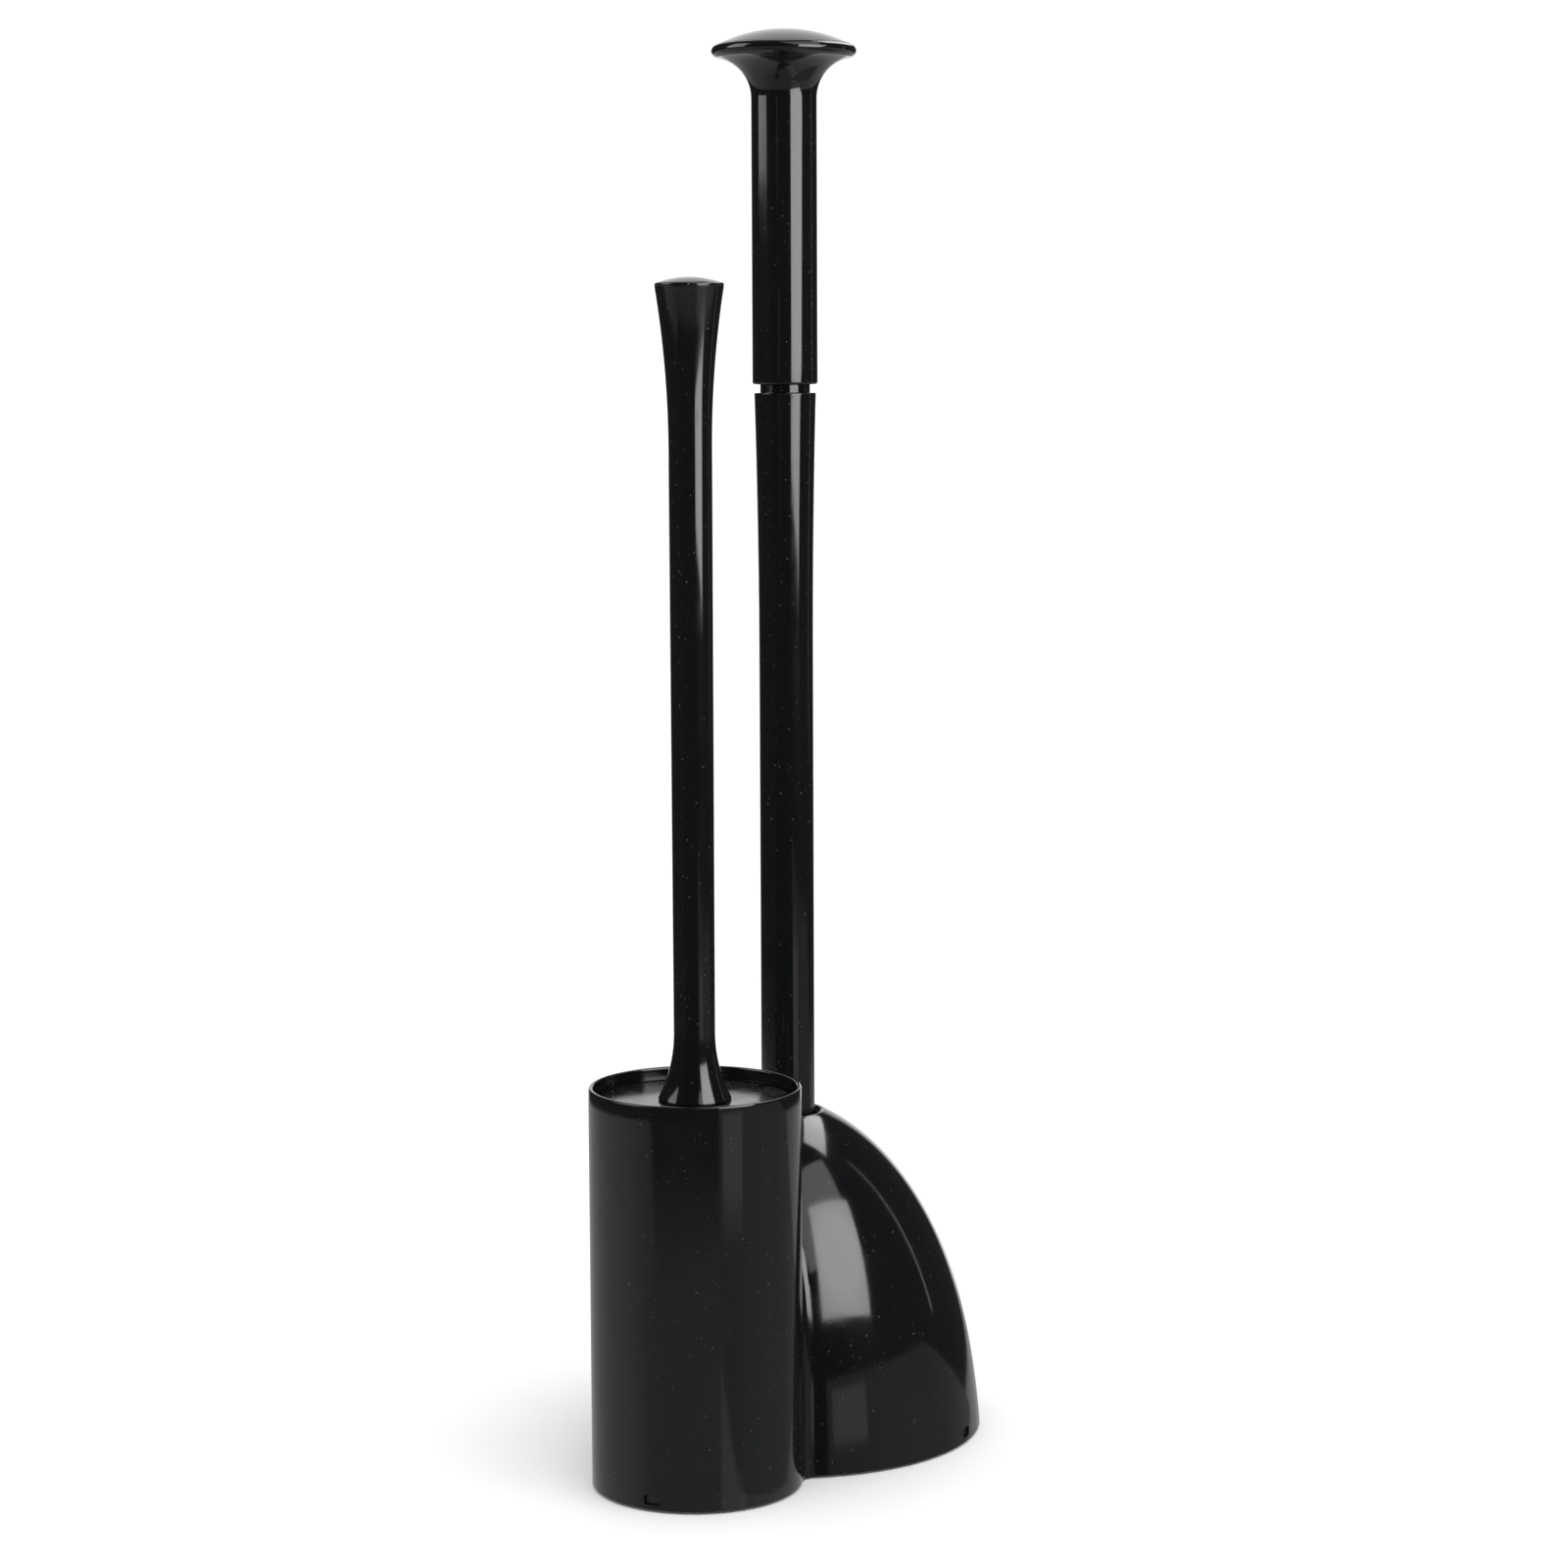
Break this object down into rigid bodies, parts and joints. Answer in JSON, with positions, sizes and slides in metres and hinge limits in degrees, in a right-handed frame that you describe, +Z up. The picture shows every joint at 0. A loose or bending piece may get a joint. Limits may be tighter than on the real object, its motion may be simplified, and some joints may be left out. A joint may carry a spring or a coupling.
{
  "type": "toilet brush and plunger caddy",
  "caption": "Free-standing caddy: a brush cup moulded onto a domed plunger cover, with a lift-out toilet brush and a plunger that slides out at the back.",
  "frame": {"origin": "centre of the footprint on the floor, under the feet", "axes": "+Z up along both handles, +X from the brush cup to the dome, +Y to the back, where the dome opens"},
  "size_m": [0.223, 0.168, 0.6047],
  "materials": {
    "shell_black": "high-gloss injection-moulded black",
    "handle_black": "gloss black with a fine parting line",
    "inner_black": "satin black",
    "foot_rubber": "matt black",
    "cup_rubber": "smooth black rubber",
    "bristle_white": "white nylon bristle"
  },
  "bodies": {
    "holder": {"holder_shell": "shell_black", "base_plate": "inner_black", "foot_pad_1": "foot_rubber", "foot_pad_2": "foot_rubber", "foot_pad_3": "foot_rubber", "foot_pad_4": "foot_rubber", "foot_pad_5": "foot_rubber", "foot_pad_6": "foot_rubber"},
    "brush": {"brush_handle": "handle_black", "brush_end_cap": "handle_black", "splash_disc": "shell_black", "brush_core": "inner_black", "bristle_row_1": "bristle_white", "bristle_row_2": "bristle_white", "bristle_row_3": "bristle_white", "bristle_row_4": "bristle_white", "bristle_row_5": "bristle_white", "bristle_row_6": "bristle_white", "bristle_row_7": "bristle_white", "bristle_row_8": "bristle_white", "tip_tufts": "bristle_white"},
    "plunger": {"plunger_grip": "handle_black", "knob_cap": "handle_black", "plunger_tube": "handle_black", "tube_plug": "inner_black", "rubber_cup": "cup_rubber"}
  },
  "joints": [
    {"name": "brush_lift", "type": "slide", "parent": "holder", "child": "brush", "axis": [0, 0, 1], "range_m": [0, 0.16]},
    {"name": "plunger_slide", "type": "slide", "parent": "holder", "child": "plunger", "axis": [0, 1, 0], "range_m": [0, 0.15]}
  ]
}
